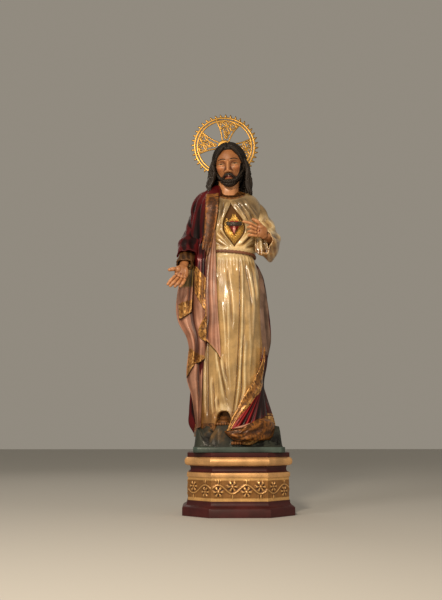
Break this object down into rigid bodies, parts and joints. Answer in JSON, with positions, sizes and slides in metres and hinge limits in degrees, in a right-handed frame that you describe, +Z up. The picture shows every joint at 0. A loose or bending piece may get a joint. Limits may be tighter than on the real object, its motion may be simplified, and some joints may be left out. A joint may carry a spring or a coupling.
{
  "type": "sacred heart statue",
  "caption": "Standing robed figure with an open hand and a heart on the chest, a pierced gilt nimbus behind the head and a moulded octagonal pedestal.",
  "frame": {"origin": "middle of the pedestal's underside, at floor level", "axes": "+Z up along the figure, the figure faces -Y, +X to the viewer's right"},
  "size_m": [0.5051, 0.376, 1.7119],
  "materials": {
    "painted_figure": "carved and painted, satin varnish, gilded borders",
    "gilt_metal": "polished gilt",
    "painted_pedestal": "maroon paint and worn gold leaf"
  },
  "bodies": {
    "root": {"figure": "painted_figure", "halo": "gilt_metal", "pedestal": "painted_pedestal"}
  },
  "joints": []
}
